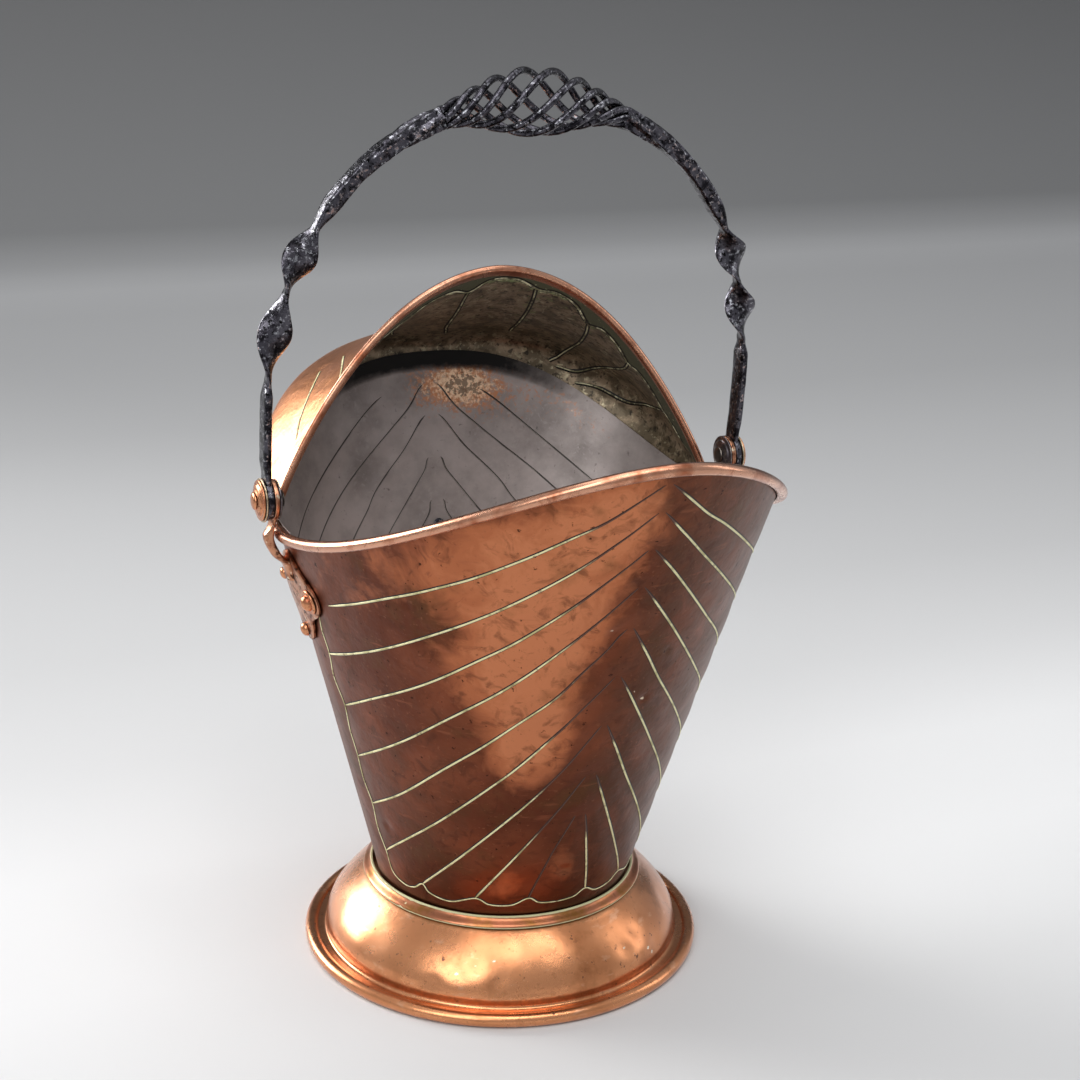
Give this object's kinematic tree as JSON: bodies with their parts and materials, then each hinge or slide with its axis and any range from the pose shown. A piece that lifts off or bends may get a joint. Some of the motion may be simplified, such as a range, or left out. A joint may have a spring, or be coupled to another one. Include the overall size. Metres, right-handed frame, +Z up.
{
  "type": "coal scuttle",
  "caption": "Helmet-shaped copper coal scuttle with a pouring lip, a flared hood, a spun foot and a swinging wrought-iron bail with a basket-twist grip.",
  "frame": {"origin": "on the floor, under the middle of the whole object's box", "axes": "+Z up, -Y towards the pouring lip, +X along the bail's hinge line, to the right seen from the lip's side"},
  "size_m": [0.2728, 0.3094, 0.4634],
  "materials": {
    "bail_iron": "wrought iron, black and polished by hands, copper-brown on its worn edges",
    "handle_iron": "wrought iron, blackened",
    "rim_wire": "drawn iron wire, dull",
    "boss_iron": "turned iron, darkened",
    "pale_brass": "pale brass, rubbed",
    "foot_copper": "copper, polished, orange, with small dents",
    "hood_copper": "copper, brown-orange outside, dark with verdigris inside",
    "bucket_copper": "copper, brown-red patina, engraved leaf veins",
    "bracket_copper": "forged copper, brown",
    "rivet_copper": "copper, rubbed bright"
  },
  "bodies": {
    "scuttle": {"foot": "foot_copper", "foot_rim_wire": "rim_wire", "collar": "foot_copper", "floor_plate": "bucket_copper", "front_panel": "bucket_copper", "back_panel": "bucket_copper", "hood": "hood_copper", "lip_wire": "rim_wire", "hood_rim_wire": "rim_wire", "rear_handle": "handle_iron", "rear_handle_top_rivet": "handle_iron", "rear_handle_bottom_rivet": "handle_iron", "left_bracket": "bracket_copper", "left_front_rivet": "rivet_copper", "left_rear_rivet": "rivet_copper", "left_lower_rivet": "rivet_copper", "left_pivot_pin": "rivet_copper", "left_inner_boss": "boss_iron", "left_pivot_washer": "pale_brass", "left_outer_boss": "rivet_copper", "right_bracket": "bracket_copper", "right_front_rivet": "rivet_copper", "right_rear_rivet": "rivet_copper", "right_lower_rivet": "rivet_copper", "right_pivot_pin": "rivet_copper", "right_inner_boss": "boss_iron", "right_pivot_washer": "pale_brass", "right_outer_boss": "rivet_copper"},
    "bail": {"bail_left_arm": "bail_iron", "bail_right_arm": "bail_iron", "basket_rod_1": "bail_iron", "basket_rod_2": "bail_iron", "basket_rod_3": "bail_iron", "basket_rod_4": "bail_iron", "basket_rod_5": "bail_iron", "basket_rod_6": "bail_iron"}
  },
  "joints": [
    {"name": "bail_hinge", "type": "hinge", "parent": "scuttle", "child": "bail", "pos_m": [0, 0.02457, 0.2585], "axis": [1, 0, 0], "range_deg": [-115, 60]}
  ]
}
